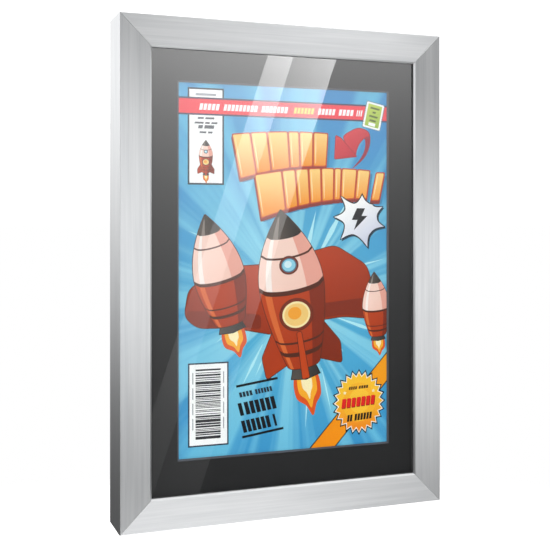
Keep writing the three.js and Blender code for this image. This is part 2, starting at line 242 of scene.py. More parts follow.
def printed_cover():
    """Coated cover stock. The inks come from the print's own colour attribute, and the sky
    gets soft rays that spread from behind the rocket."""
    material, tree = new_material("printed_cover")
    ink = put(tree, "Attribute", attribute_name="ink")
    across = maths(tree, "SUBTRACT", distance_along(tree, "X"), SKY_CENTRE[0] * MM)
    up = maths(tree, "SUBTRACT", distance_along(tree, "Z"), SKY_CENTRE[1] * MM)
    outward = put(tree, "CombineXYZ", {0: across, 1: up})
    reach = put(tree, "VectorMath", {0: outward.outputs[0]}, operation="LENGTH").outputs["Value"]
    heading = put(tree, "VectorMath", {0: outward.outputs[0]}, operation="NORMALIZE").outputs[0]
    wide_rays = noise(tree, 0.16, 0.0, heading)
    thin_rays = noise(tree, 0.05, 1.0, heading)
    drift = noise(tree, 30 * MM, 1.0)
    shine = spread(tree, weigh(tree, (wide_rays, 0.62), (thin_rays, 0.26), (drift, 0.12)), 0, 1, 0.42, 0.58)
    distance = spread(tree, reach, 0.0, 1.0, 0.02, 0.135)
    deep = blend_colours(tree, distance, "#55b6da", "#338fca")
    light = blend_colours(tree, distance, "#92d9ec", "#5fbade")
    sky = blend_colours(tree, shine, deep, light)
    inked = blend_colours(tree, ink.outputs["Alpha"], ink.outputs["Color"], sky)
    paper = noise(tree, 0.35 * MM, 3.0)
    mottle = spread(tree, paper, 0.965, 1.0, 0.3, 0.7)
    colour = put(tree, "VectorMath", {0: inked, 1: mottle}, operation="MULTIPLY").outputs[0]
    relief = (paper, 0.006 * MM, 0.4)
    return stuff(material, colour, spread(tree, paper, 0.38, 0.46), relief, {"Specular IOR Level": 0.06})


def stacked_pages(name, light, dark, leaf):
    """Uncoated paper whose edges show the leaves, each `leaf` metres thick, by a line of painted shade in the
    gap between each two leaves.
    """
    material, tree = new_material(name)
    fibres = noise(tree, (1.2 * MM, 1.2 * MM, 0.5 * MM), 4.0)
    gap = maths(tree, "PINGPONG", maths(tree, "DIVIDE", distance_along(tree, "Y"), leaf), 0.5)
    line = spread(tree, gap, 1.0, 0.0, 0.0, 0.25)
    on_edge = spread(tree, facing_y(tree), 1.0, 0.0, 0.2, 0.5)
    shadow = maths(tree, "MULTIPLY", line, on_edge)
    paper = blend_colours(tree, spread(tree, fibres, 0, 1, 0.3, 0.7), light, dark)
    # painted shade: on the edges the colour darkens towards #6d675c along the gaps between leaves
    colour = blend_colours(tree, maths(tree, "MULTIPLY", shadow, 0.6), paper, "#6d675c")
    height = weigh(tree, (fibres, 0.4), (shadow, -0.6))
    return stuff(material, colour, spread(tree, fibres, 0.7, 0.9), (height, 0.05 * MM, 0.5))


def mottled(name, light, dark, cell, roughness, depth, speck=None):
    """Matt stuff of two tones: a coarse and a fine grain, with an optional darker speck."""
    material, tree = new_material(name)
    coarse = noise(tree, cell, 3.0)
    fine = noise(tree, 0.25 * MM, 4.0)
    tone = spread(tree, weigh(tree, (coarse, 0.55), (fine, 0.45)), 0, 1, 0.32, 0.68)
    colour = blend_colours(tree, tone, dark, light)
    if speck:
        flecks = spread(tree, noise(tree, 0.7 * MM, 1.0), 0.0, 0.7, 0.68, 0.74)
        colour = blend_colours(tree, flecks, colour, speck)
    return stuff(material, colour, spread(tree, fine, roughness - 0.1, roughness + 0.05), (tone, depth, 0.7))


def hardboard():
    """Brown pressed fibre, with the weave that the press's wire screen leaves on its rear, and painted shade
    in the weave's dips.
    """
    material, tree = new_material("hardboard")
    fibres = noise(tree, (2.5 * MM, 1 * MM, 0.6 * MM), 5.0)
    clumps = noise(tree, 6 * MM, 3.0)
    weave = []
    for axis in "XZ":
        phase = maths(tree, "MULTIPLY", distance_along(tree, axis), math.tau / (1.6 * MM))
        weave.append(maths(tree, "SINE", phase))
    screen = maths(tree, "MULTIPLY", *weave)
    tone = spread(tree, weigh(tree, (fibres, 0.6), (clumps, 0.4)), 0, 1, 0.34, 0.66)
    height = weigh(tree, (fibres, 0.5), (screen, 0.25))
    # painted shade: the colour darkens towards #3c2513 in the low dips of the screen weave
    weave_dip_shade = spread(tree, screen, 0.25, 0.0, -1.0, 0.2)
    colour = blend_colours(tree, weave_dip_shade, blend_colours(tree, tone, "#5b3a20", "#8e6238"), "#3c2513")
    return stuff(material, colour, spread(tree, fibres, 0.55, 0.8), (height, 0.12 * MM, 0.6))


def zinc_steel():
    """Bright zinc plate: faintly patchy in tone, with drawn scuffs."""
    material, tree = new_material("zinc_steel")
    patches = noise(tree, 2.4 * MM, 2.0)
    scuffs = noise(tree, (0.15 * MM, 0.15 * MM, 2.5 * MM), 3.0)
    colour = blend_colours(tree, spread(tree, patches, 0, 1, 0.35, 0.65), "#b9bdc2", "#dcdcd6")
    roughness = spread(tree, weigh(tree, (patches, 0.5), (scuffs, 0.5)), 0.22, 0.42, 0.3, 0.7)
    return stuff(material, colour, roughness, (scuffs, 0.02 * MM, 0.5), {"Metallic": 1.0})


def pad_rubber():
    """Dark moulded rubber with a dull bloom."""
    material, tree = new_material("pad_rubber")
    bloom = noise(tree, 1.5 * MM, 4.0)
    colour = blend_colours(tree, spread(tree, bloom, 0, 1, 0.35, 0.7), "#2b2b2d", "#454548")
    roughness = spread(tree, bloom, 0.5, 0.75)
    return stuff(material, colour, roughness, (bloom, 0.03 * MM, 0.5), {"Sheen Weight": 0.15})


# ---- outlines for the printed cover

SKY_CENTRE = (4.7, -21.6)
SKY = "sky"


def block(x0, z0, x1, z1):
    return np.array([(x0, z0), (x1, z0), (x1, z1), (x0, z1)], float)


def oval(x, z, rx, rz, turn=0.0, steps=48):
    angles = np.arange(steps) * math.tau / steps
    flat = np.column_stack((rx * np.cos(angles), rz * np.sin(angles)))
    return turned(flat, turn) + (x, z)


def turned(points, degrees):
    a = math.radians(degrees)
    return np.asarray(points, float) @ np.array([(math.cos(a), math.sin(a)), (-math.sin(a), math.cos(a))])


def placing(where, size, lean):
    """The function that sizes, leans and moves an outline into its place."""
    return lambda points: turned(np.asarray(points, float) * size, lean) + where


def curve_through(points, closed=True, steps=7):
    """A Catmull-Rom curve through a few given points."""
    p = np.array(points, float)
    if closed:
        p = np.vstack((p[-1], p, p[:2]))
    else:
        p = np.vstack((2 * p[0] - p[1], p, 2 * p[-1] - p[-2]))
    made = []
    for a, b, c, d in zip(p, p[1:], p[2:], p[3:]):
        for t in np.arange(steps) / steps:
            made.append(0.5 * (2 * b + (c - a) * t + (2 * a - 5 * b + 4 * c - d) * t**2
                               + (3 * b - a - 3 * c + d) * t**3))
    if not closed:
        made.append(p[-2])
    return np.array(made)


def rounded(points, radius, steps=4):
    """A polygon with each corner eased over `radius`."""
    p = np.array(points, float)
    made = []
    for before, corner, after in zip(np.roll(p, 1, 0), p, np.roll(p, -1, 0)):
        start = corner + (before - corner) * min(0.45, radius / np.linalg.norm(before - corner))
        end = corner + (after - corner) * min(0.45, radius / np.linalg.norm(after - corner))
        for t in np.linspace(0, 1, steps + 1):
            made.append((1 - t) ** 2 * start + 2 * t * (1 - t) * corner + t * t * end)
    return np.array(made)


def grown(outline, width):
    """The outline moved outwards by `width`."""
    p = np.asarray(outline, float)
    x, z = p.T
    if np.sum(x * np.roll(z, -1) - np.roll(x, -1) * z) < 0:
        p = p[::-1]
    along = np.roll(p, -1, 0) - p
    along /= np.maximum(np.linalg.norm(along, axis=1), 1e-9)[:, None]
    out_next = np.column_stack((along[:, 1], -along[:, 0]))
    out_last = np.roll(out_next, 1, 0)
    bisector = out_next + out_last
    share = 1 + np.sum(out_next * out_last, axis=1)
    return p + width * bisector / np.maximum(share, 0.45)[:, None]


def stroke(points, widths, steps=8):
    """A brush stroke along a curve, as wide at each given point as `widths` says."""
    line = curve_through(points, closed=False, steps=steps)
    along = np.gradient(line, axis=0)
    along /= np.linalg.norm(along, axis=1)[:, None]
    across = np.column_stack((-along[:, 1], along[:, 0]))
    half = np.interp(np.linspace(0, 1, len(line)), np.linspace(0, 1, len(widths)), widths) / 2
    return np.vstack((line + across * half[:, None], (line - across * half[:, None])[::-1]))


def toothed(x, z, rx, rz, teeth, depth):
    """An oval seal with pointed teeth."""
    angles = np.arange(2 * teeth) * math.pi / teeth + math.pi / 2
    reach = np.where(np.arange(2 * teeth) % 2 == 0, 1.0, 1.0 - depth)
    return np.column_stack((x + rx * reach * np.cos(angles), z + rz * reach * np.sin(angles)))


def flash(centre, tips, pull, steps=6):
    """A burst whose sides bow in towards the centre between its tips."""
    middle = np.array(centre, float)
    made = []
    for a, b in zip(np.array(tips, float), np.roll(tips, -1, 0)):
        bow = middle + pull * ((a + b) / 2 - middle)
        for t in np.arange(steps) / steps:
            made.append((1 - t) ** 2 * a + 2 * t * (1 - t) * bow + t * t * b)
    return np.array(made)


def flat_ink(code):
    colour = rgb(code)
    return lambda points: np.tile(colour, (len(points), 1))


def fading_ink(first, second, start, end):
    """An even change of ink between two points."""
    a, b = np.array(rgb(first)), np.array(rgb(second))
    s, e = np.array(start, float), np.array(end, float)

    def ink(points):
        share = np.clip((points - s) @ (e - s) / float((e - s) @ (e - s)), 0, 1)
        return a + (b - a) * share[:, None]

    return ink


class Artwork:
    """Flat inks laid over each other, the last on top. The drawing is printed a little enlarged
    and off the middle of the sheet."""

    SCALE = 1.013
    SHIFT = np.array((1.7, 0.7))

    def __init__(self, half_width, half_height):
        self.sheet = block(-half_width, -half_height, half_width, half_height)
        self.layers = [(self.sheet, SKY)]

    def lay(self, outline, ink):
        paint = flat_ink(ink) if isinstance(ink, str) else ink
        printed = np.asarray(outline, float) * self.SCALE + self.SHIFT
        self.layers.append((printed, lambda points: paint((points - self.SHIFT) / self.SCALE)))

    def lay_lined(self, outline, ink, line, width):
        """A shape with a line of ink round it."""
        self.lay(grown(outline, width), line)
        self.lay(outline, ink)

    def words(self, x, z, height, widths, ink, gap=1.2, turn=0.0, lean=0.2, stem=None):
        """A row of leaning blank bars where a line of type would stand. With a `stem`, each word
        is a run of bars about that wide."""
        at = 0.0
        for width in widths:
            count = max(1, round(width / stem)) if stem else 1
            pitch = width / count
            thick = pitch * 0.76 if count > 1 else width
            for i in range(count):
                left = at + i * pitch
                bar = block(left, 0, left + thick, height)
                bar[:, 0] += bar[:, 1] * lean
                self.lay(turned(bar, turn) + (x, z), ink)
            at += width + gap


def winds_round(points, outline):
    """Which points lie inside an outline."""
    x, z = points.T
    turns = np.zeros(len(points), int)
    for (x0, z0), (x1, z1) in zip(outline, np.roll(outline, -1, 0)):
        side = (x1 - x0) * (z - z0) - (x - x0) * (z1 - z0)
        turns += (z0 <= z) & (z1 > z) & (side > 0)
        turns -= (z0 > z) & (z1 <= z) & (side < 0)
    return turns != 0


# ---- what is printed on the cover

RUST_DARK = "#852806"
RUST_LINE = "#54240f"


def draw_shards(art):
    """Pale splinters of light that fly out from the rocket."""
    for near, far, width in (
        ((-19, -50), (-33.5, -77), 2.0),
        ((-17, -56), (-24, -71), 1.1),
        ((-38, -37), (-52, -48), 1.2),
        ((36, -34), (71, -46.5), 2.4),
        ((33, -46), (40, -57.5), 1.8),
        ((11, 3), (19.8, 39.5), 3.0),
        ((20, 6), (43, 46), 3.8),
        ((-7, -56), (-9, -72), 1.3),
        ((14, -74), (12, -108), 1.3),
        ((24, -68), (31, -98), 1.2),
        ((45, 0), (71, 6), 1.4),
        ((-45, 16), (-70, 26), 1.5),
    ):
        art.lay(stroke((near, (np.array(near) + far) / 2, far), (width * 0.25, width, 0.05), 3), "#b5ecf6")


def draw_corner_box(art):
    art.lay_lined(block(-69.6, 57.4, -47.1, 118.6), "#ffffff", "#26303c", 1.1)
    art.words(-65.5, 114.6, 1.5, (14,), "#a9acb2")
    for row, widths in enumerate(((4, 6), (6, 3, 4), (3, 6.5), (4.5, 3))):
        art.words(-58.4 - (sum(widths) + 1.2 * (len(widths) - 1)) / 2, 99.3 - 3.1 * row,
                  2.2 if row == 2 else 1.2, widths, "#5b5e64")
    draw_ship(art, (-58.4, 73.6), 0.2, 0.0)


def draw_banner(art):
    art.lay_lined(block(-90, 102.9, 90, 112.4), "#f4404e", "#45405c", 1.1)
    art.words(-63, 105.3, 4.2, (14, 24, 19), "#ffffff", 2.6, stem=2.6)
    art.words(3.4, 105.3, 4.2, (15,), "#fbd35a", stem=2.6)
    art.words(21.2, 105.3, 4.2, (13, 11.5), "#ffffff", 2.4, stem=2.6)
    art.words(50, 105.3, 4.2, (0.9, 0.9, 0.9), "#ffffff", 0.7)


def draw_stamp(art):
    centre, tilt, width, height, notch = (63.3, 106.0), -12.0, 14.0, 18.6, 1.55
    teeth = []
    corners = ((-1, -1), (1, -1), (1, 1), (-1, 1))
    for (a, b), (c, d) in zip(corners, corners[1:] + corners[:1]):
        start, end = np.array((a * width, b * height)) / 2, np.array((c * width, d * height)) / 2
        count = round(float(np.linalg.norm(end - start)) / notch)
        inward = -np.array((a + c, b + d)) / 2 * 0.55
        for i in range(count):
            teeth.append(start + (end - start) * i / count)
            teeth.append(start + (end - start) * (i + 0.5) / count + inward)
    art.lay_lined(turned(teeth, tilt) + centre, "#ffffff", "#4c7b92", 0.4)
    green = fading_ink("#c6d55c", "#9fbf43", (60, 114), (66, 98))
    art.lay(turned(block(-5.4, -7.8, 5.4, 7.8), tilt) + centre, green)
    for row, widths in enumerate(((7,), (2.5,), (6.5,), (5,))):
        at = turned([(-sum(widths) / 2, 4.6 - 2.9 * row)], tilt)[0] + centre
        art.words(at[0], at[1], 1.3, widths, "#5d6f2c", turn=tilt)
    art.lay(turned(block(-2.6, -7.2, 2.6, -5.0), tilt) + centre, "#ffffff")


def draw_arrow(art):
    """A ribbon arrow that curls over and points down to the left."""
    art.lay(curve_through([(47, 69), (52.5, 75), (56, 81), (57, 87.5), (55, 91.5), (50.5, 92.5), (55, 96.6),
                           (60.2, 93.8), (60.6, 86), (57.4, 78), (52, 72.5)]), "#a3263a")
    band = curve_through([(49, 78.5), (44.5, 83.5), (40.5, 90.5), (46, 94.8), (52, 97), (58, 95.5), (60, 92),
                          (56.5, 90.5), (52.6, 86.5), (50.4, 82)])
    art.lay_lined(band, fading_ink("#e0424a", "#c62c3c", (40, 95), (55, 80)), "#8f1f30", 0.35)
    head = np.array([(34.6, 91.6), (38.6, 89.8), (46, 82), (50.6, 77.4), (33.6, 75.2)])
    art.lay_lined(rounded(head, 1.0), fading_ink("#dd3d46", "#c22a3a", (35, 90), (48, 76)), "#8f1f30", 0.35)


def draw_slabs(art, edges, top, bottom, lean):
    """A row of raised blank slabs. Each function gives a height or a lean at a place across."""
    slabs = []
    for x0, x1 in zip(edges, edges[1:]):
        a, b = x0 + 0.8, x1 - 0.8
        corners = [(a + lean(a), bottom(a)), (b + lean(b), bottom(b)), (b, top(b)), (a, top(a))]
        slabs.append(np.array(corners))
    for slab in slabs:
        art.lay(rounded(grown(slab + (1.5, -2.4), 0.9), 1.6), "#3c88b5")
    for slab in slabs:
        art.lay(rounded(grown(slab + (-0.2, -2.0), 1.0), 1.4), "#8c2f28")
    for slab in slabs:
        middle = slab.mean(0)
        art.lay(rounded(grown(slab, 0.8), 1.3), "#c94a24")
        art.lay(rounded(slab, 1.0), fading_ink("#f79a22", "#ffd681", middle - (0, 11), middle + (0, 9)))
        low = slab[0] * 0.93 + slab[3] * 0.07 + (1.2, 0)
        high = slab[0] * 0.07 + slab[3] * 0.93 + (1.2, 0)
        art.lay(stroke((low, (low + high) / 2, high), (0.3, 0.8, 0.3), 3), "#ffe7b0")


def draw_title(art):
    draw_slabs(art, (-40.6, -27.6, -15.8, -0.8, 7.4, 17.8, 29),
               lambda x: 92.6 - 0.0012 * (x - 10) ** 2,
               lambda x: 70.6 - 0.0020 * (x - 28) ** 2,
               lambda x: 5.5 - 0.1 * (x + 40))
    draw_slabs(art, (-24.8, -5.2, 4.6, 14.2, 23.6, 33.4, 39.0, 50.8, 61),
               lambda x: 68.4 - 0.0016 * (x - 34) ** 2,
               lambda x: 48.6 - 0.0021 * (x - 56) ** 2,
               lambda x: 4.5 - 0.085 * (x + 24))
    draw_slabs(art, (65.0, 72.2), lambda x: 66.0, lambda x: 47.5, lambda x: -4.0)


def ogive(half_width, tip, shoulder, tail, taper):
    """Half the width of a rocket body at any height: pointed above its shoulder, tapering below."""

    def half_at(z):
        if z >= shoulder:
            return half_width * (1 - (1 - (tip - z) / (tip - shoulder)) ** 1.9)
        return half_width * (1 - taper * ((shoulder - z) / (shoulder - tail)) ** 1.6)

    return half_at


def stretch_of(half_at, top, bottom, left=-1.0, right=1.0):
    """The part of a round body between two heights and two shares of its width. Its ends sag, as
    rings do when they are seen from a little below."""
    shares = np.linspace(left, right, 13)
    heights = np.linspace(bottom, top, 17)

    def point(share, z):
        return share * half_at(z), z - 0.24 * half_at(z) * math.sqrt(1 - share * share)

    return np.array([point(share, bottom) for share in shares]
                    + [point(right, z) for z in heights[1:-1]]
                    + [point(share, top) for share in shares[::-1]]
                    + [point(left, z) for z in heights[-2:0:-1]])


def draw_flame(art, at, half_width, top, tip):
    """A jet with a hot core, which narrows to a wavering point."""
    for share, ink in ((1.0, "#e2571c"), (0.72, "#fbb02b"), (0.4, "#fff3c0")):
        w, end = half_width * share, top + (tip - top) * (0.35 + 0.65 * share)
        middle = (top + end) / 2
        low = (middle + end) / 2
        jet = [(-w * 0.8, top), (-w, middle), (-w * 0.3, low), (w * 0.1, end), (w * 0.5, low), (w, middle),
               (w * 0.8, top)]
        art.lay(curve_through(at(jet)), ink)


def draw_body(art, at, size, half_width, tip, shoulder, tail, taper):
    """One rocket body: dark tip, peach nose, rust hull with dark rings, nozzle and jet."""
    half_at = ogive(half_width, tip, shoulder, tail, taper)

    def wrap(top, bottom, ink, left=-1.0, right=1.0):
        art.lay(at(stretch_of(half_at, top, bottom, left, right)), ink)

    length = tip - tail
    line = 0.5 * size
    foot = half_at(tail)
    draw_flame(art, at, foot * 0.8, tail - 0.06 * length, tail - 0.34 * length)
    nozzle = np.array([(-foot * 0.6, tail + 2), (foot * 0.6, tail + 2), (foot * 0.9, tail - 0.08 * length),
                       (0, tail - 0.1 * length), (-foot * 0.9, tail - 0.08 * length)])
    iron = fading_ink("#5a5450", "#2a2725", *at([(-foot, tail), (foot, tail)]))
    art.lay_lined(at(nozzle), iron, "#1f1d1d", line)
    ends = at([(-half_width, shoulder), (half_width, tail)])
    rust = fading_ink("#c4440c", "#a43204", *ends)
    art.lay_lined(at(stretch_of(half_at, tip, tail)), rust, RUST_LINE, line)
    wrap(shoulder, tail, RUST_DARK, 0.5, 1.0)
    wrap(shoulder, tail, "#de6c30", -0.86, -0.66)
    wrap(tip, shoulder, fading_ink("#fbd9cc", "#f2bba8", *ends))
    wrap(tip, shoulder, "#eba898", 0.45, 1.0)
    wrap(tip - 0.1 * length, shoulder, "#fff4ee", -0.8, -0.62)
    cap = tip - 0.16 * length
    wrap(tip, cap, fading_ink("#5b5148", "#2c2420", *at([(-6, cap), (8, cap)])))
    wrap(tip - 0.04 * length, cap, "#8d837b", -0.7, -0.4)
    for share, thick in ((0.27, 0.012), ((tip - shoulder) / length, 0.03), (0.82, 0.014), (0.9, 0.03)):
        z, half_thick = tip - share * length, thick * length / 2
        wrap(z + half_thick, z - half_thick, RUST_LINE)


def draw_ship(art, where, size, lean):
    """The middle body with its tail fins and two round windows."""
    at = placing(where, size, lean)
    for way in (-1, 1):
        fin = rounded(at([(way * 15, -14), (way * 29, -36), (way * 28, -51), (way * 9, -43)]), 2.5 * size)
        art.lay_lined(fin, "#b23a0a" if way < 0 else RUST_DARK, RUST_LINE, 0.5 * size)
    draw_body(art, at, size, 23.5, 60.0, 9.0, -46.0, 0.5)
    fin = rounded(at([(-1.6, -24), (1.6, -24), (2.6, -56), (-2.6, -56)]), 1.2 * size)
    art.lay_lined(fin, "#c4440c", RUST_LINE, 0.5 * size)
    for z, radius, inks in (
        (-8, 10.2, ("#fdebb0", "#f6cf7c", "#f6a733")),
        (26, 5.6, ("#4f6f86", "#8fd0e6", "#d7f1f8")),
    ):
        centre = at([(0, z - 4)])[0]
        rim = radius * size
        art.lay_lined(oval(*centre, rim * 1.18, rim * 1.06, lean), "#7a2a10", RUST_LINE, 0.4 * size)
        art.lay(oval(*centre, rim, rim * 0.88, lean), inks[0])
        art.lay(oval(*centre, rim * 0.86, rim * 0.74, lean), inks[1])
        spot = centre + (-0.12 * rim, 0.1 * rim)
        art.lay(oval(*spot, rim * 0.48, rim * 0.42, lean, 24), inks[2])


def draw_rocket(art):
    """A stout rocket on a stub wing at each side, the near pod large and the far one small."""
    for wing, ink, shade in (
        ([(-6, 4), (-46, 2), (-70, -12), (-73, -30), (-64, -37.5), (-40, -38), (-10, -44)],
         fading_ink("#b83b08", "#8f2b04", (-40, 4), (-60, -38)),
         [(-20, -30), (-46, -27), (-71.5, -26), (-71.5, -31), (-63.5, -36.6), (-40, -37), (-20, -40)]),
        ([(10, 10), (34, 16), (58, 2), (66, -24), (60, -35), (40, -33), (14, -36)],
         fading_ink("#bc3d0a", "#962e04", (25, 16), (50, -34)),
         [(20, -24), (42, -22), (62, -20), (64, -26), (59.5, -34), (40, -32), (20, -34)]),
    ):
        art.lay_lined(rounded(wing, 5), ink, RUST_LINE, 0.5)
        art.lay(rounded(shade, 3), RUST_DARK)
    for where, size, lean in (((-49, -4), 1.0, 14.0), ((65.5, -28), 0.6, 4.0)):
        draw_body(art, placing(where, size, lean), size, 17.5, 42.0, 0.0, -31.0, 0.42)
    draw_ship(art, (3.5, -19.0), 1.0, 9.3)


def draw_burst(art):
    tips = [(71.5, 28.8), (66.0, 34.8), (70.2, 42.6), (62.4, 44.2), (54.6, 50.6), (48.6, 44.6), (38.4, 49.8),
            (41.8, 40.6), (33.2, 35.4), (41.2, 30.6), (38.4, 20.2), (48.4, 23.4), (58.6, 14.6), (61.2, 24.6)]
    outer = flash((52.0, 34.0), tips, 0.8)
    art.lay(grown(outer + (0.9, -1.0), 0.6), "#1d3f58")
    art.lay_lined(outer, fading_ink("#ffffff", "#d9dbea", (46, 42), (60, 24)), "#101318", 0.8)
    bolt = [(50.6, 41.5), (56.8, 41.5), (54.2, 36.2), (58.6, 36.2), (48.2, 26.2), (51.0, 33.4), (46.6, 33.4)]
    art.lay(bolt, "#15161b")


def draw_bar_panel(art):
    """Bars of chance widths, as on any barcode, and no figures beside them."""
    art.lay_lined(block(-69.5, -114.0, -43.8, -61.2), "#ffffff", "#2c3a4c", 1.0)
    chance = random.Random(5)
    z = -110.2
    while z < -65.2:
        thick = chance.choice((0.5, 0.5, 0.8, 1.2, 1.9))
        art.lay(block(-65.4, z, -48.3, min(z + thick, -64.4)), "#26282c")
        z += thick + chance.choice((0.45, 0.45, 0.7, 1.1))
    for x in (-67.6, -46.6):
        for z in (-104, -94, -84, -74):
            art.lay(block(x, z, x + 0.7, z + 7.5), "#a4a8ad")


def draw_side_panel(art):
    """Two rules with blank bars between them, all leaning up to the right."""
    slope = 8.0
    for start in ((-37.4, -77.9), (-33.2, -111.8)):
        art.lay(turned(block(0, 0, 29.6, 1.6), slope) + start, "#12151a")
    art.words(-34.8, -84.6, 3.4, (9.6, 12.4), "#25333f", 1.6, slope, -0.12, stem=2.2)
    art.words(-34.4, -96.8, 8.6, (2.6, 22.6), "#12151a", 1.6, slope, -0.12, stem=3.8)
    art.words(-32.2, -108.2, 8.2, (20.6, 1.7), "#12151a", 1.8, slope, -0.12, stem=3.4)


def draw_badge(art):
    band = [(15.3, -122.8), (9, -131), (28, -131), (33.2, -122.8), (75.8, -76.6), (90, -61), (90, -41),
            (75.8, -57.9)]
    art.lay_lined(band, fading_ink("#f9930c", "#f9a512", (20, -120), (78, -62)), "#17212c", 0.75)
    for scale, ink in ((1.03, "#141a20"), (0.965, "#fffaf0")):
        art.lay(toothed(52.2, -93, 19.8 * scale, 22.4 * scale, 24, 0.16), ink)
    art.lay(toothed(52.2, -93, 18.2, 20.6, 24, 0.16), fading_ink("#f58f1d", "#fdc531", (52, -111), (52, -88)))
    art.lay(oval(52.2, -93, 12.5, 13.5), "#fbb92c")
    art.lay(oval(52.6, -92, 8.0, 8.6), "#fdc93a")
    art.words(44.4, -84.3, 2.1, (6.4, 7.4), "#3a2c14", 1.2, 3, stem=1.7)
    art.words(39.2, -97.2, 6.2, (25.8,), "#8d1110", 1.2, 4, stem=3.7)
    art.words(38.8, -96.6, 6.2, (25.8,), "#e3211f", 1.2, 4, stem=3.7)
    art.words(43.0, -106.2, 4.6, (4.2, 13.6), "#1c160e", 1.4, 4, stem=2.4)
    for x, z in ((41.4, -86.2), (63.2, -85.6)):
        art.lay(toothed(x, z, 1.3, 1.3, 5, 0.45), "#fff3c4")


def draw_cover(half_width, half_height):
    art = Artwork(half_width, half_height)
    for draw in (draw_shards, draw_corner_box, draw_banner, draw_stamp, draw_arrow, draw_title, draw_rocket,
                 draw_burst, draw_bar_panel, draw_side_panel, draw_badge):
        draw(art)
    return art


def print_cover(art, front_y, thickness):
    """Turns the artwork into one thin closed sheet, whose front faces carry their inks."""
    coords, edges = [], []
    for outline, _ in art.layers:
        first = len(coords)
        coords += [Vector(p) for p in outline]
        count = len(outline)
        edges += [(first + i, first + (i + 1) % count) for i in range(count)]
    flat, _, triangles, *_ = delaunay_2d_cdt(coords, edges, [], 0, 1e-4, False)
    points = np.array([tuple(p) for p in flat])
    triangles = np.array([t for t in triangles if len(t) == 3])
    centres = points[triangles].mean(1)
    on_sheet = winds_round(centres, art.sheet)
    triangles, centres = triangles[on_sheet], centres[on_sheet]
    top_layer = np.zeros(len(centres), int)
    for i, (outline, _) in enumerate(art.layers):
        top_layer[winds_round(centres, outline)] = i

    used = np.unique(triangles)
    index_of = {old: new for new, old in enumerate(used)}
    rim = [i for i in used if np.isclose(np.abs(points[i]), art.sheet.max(0), atol=1e-3).any()]
    rim.sort(key=lambda i: math.atan2(points[i][1], points[i][0]))
    front = [(x * MM, front_y, z * MM) for x, z in points[used]]
    rear = [(points[i][0] * MM, front_y + thickness, points[i][1] * MM) for i in rim]
    faces = [tuple(index_of[i] for i in t) for t in triangles]
    count = len(rim)
    for i in range(count):
        j = (i + 1) % count
        faces.append((index_of[rim[j]], index_of[rim[i]], len(front) + i, len(front) + j))
    faces.append(tuple(len(front) + i for i in reversed(range(count))))
    piece = new_piece("cover_print", front + rear, faces)

    inks = np.ones((len(piece.data.loops), 4), np.float32)
    inks[:, 3] = 0.0
    for i, (_, ink) in enumerate(art.layers):
        chosen = np.flatnonzero(top_layer == i)
        loops = (chosen[:, None] * 3 + np.arange(3)).ravel()
        if ink is SKY:
            inks[loops, 3] = 1.0
        else:
            inks[loops, :3] = ink(points[triangles[chosen]].reshape(-1, 2))
    attribute = piece.data.color_attributes.new("ink", "FLOAT_COLOR", "CORNER")
    attribute.data.foreach_set("color", inks.ravel())
    return piece


# ---- mesh helpers


def new_piece(name, vertices, faces, smooth=False):
    mesh = bpy.data.meshes.new(name)
    mesh.from_pydata([tuple(v) for v in vertices], [], faces)
    mesh.validate()
    if smooth:
        mesh.shade_smooth()
    made = bpy.data.objects.new(name, mesh)
    bpy.context.scene.collection.objects.link(made)
    return made


def skin(name, rings, ends="capped", smooth=True):
    """A closed surface over rings of equally many points. Its ends are capped or joined up."""
    count = len(rings[0])
    vertices = [p for ring in rings for p in ring]
    faces = []
    last = len(rings) if ends == "joined" else len(rings) - 1
    for r in range(last):
        a, b = r * count, (r + 1) % len(rings) * count
        for i in range(count):
            j = (i + 1) % count
            faces.append((a + i, a + j, b + j, b + i))
    if ends == "capped":
        faces.append(tuple(reversed(range(count))))
        faces.append(tuple(range((len(rings) - 1) * count, len(rings) * count)))
    return new_piece(name, vertices, faces, smooth)


def point_outwards(piece):
    """Turns every face outwards and makes edges sharper than 40 degrees look sharp."""
    work = bmesh.new()
    work.from_mesh(piece.data)
    bmesh.ops.recalc_face_normals(work, faces=work.faces)
    for edge in work.edges:
        edge.smooth = not (edge.is_manifold and edge.calc_face_angle() > math.radians(40))
    work.to_mesh(piece.data)
    work.free()


def dress(piece, material):
    piece.data.materials.clear()
    piece.data.materials.append(material)


def stands_for(piece, material, body, node):
    """Makes a finished piece ride on a body in place of a CAD node."""
    point_outwards(piece)
    dress(piece, material)
    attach(piece, body)
    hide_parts(node)


def soften(node, width):
    """Eases the edges of a CAD node. Its mesh keeps its own points."""
    made = frame["nodes"][node]
    weld = made.modifiers.new("weld", "WELD")
    weld.merge_threshold = 0.001 * MM
    bevel = made.modifiers.new("bevel", "BEVEL")
    bevel.width = width
    bevel.segments = 2
    bevel.limit_method = "ANGLE"
    bevel.angle_limit = math.radians(35)


def carve(piece, cutter):
    """Cuts one closed mesh out of another, and removes the cutter."""
    boolean = piece.modifiers.new("recess", "BOOLEAN")
    boolean.operation = "DIFFERENCE"
    boolean.solver = "EXACT"
    boolean.object = cutter
    bpy.context.view_layer.update()
    ready = piece.evaluated_get(bpy.context.evaluated_depsgraph_get())
    mesh = bpy.data.meshes.new_from_object(ready)
    piece.modifiers.clear()
    piece.data = mesh
    bpy.data.objects.remove(cutter)


# ---- hardware on the back


def axis_of(low, high):
    """Where the middle line of a box, which runs along Y, crosses the wall plane."""
    return Vector(((low.x + high.x) / 2, 0, (low.z + high.z) / 2))


def lathe_rings(profile, centre, steps=40):
    """Rings about the Y axis through `centre`, from (radius, depth) pairs."""
    rings = []
    for radius, y in profile:
        turns = [i * math.tau / steps for i in range(steps)]
        rings.append([centre + Vector((radius * math.cos(a), y, radius * math.sin(a))) for a in turns])
    return rings


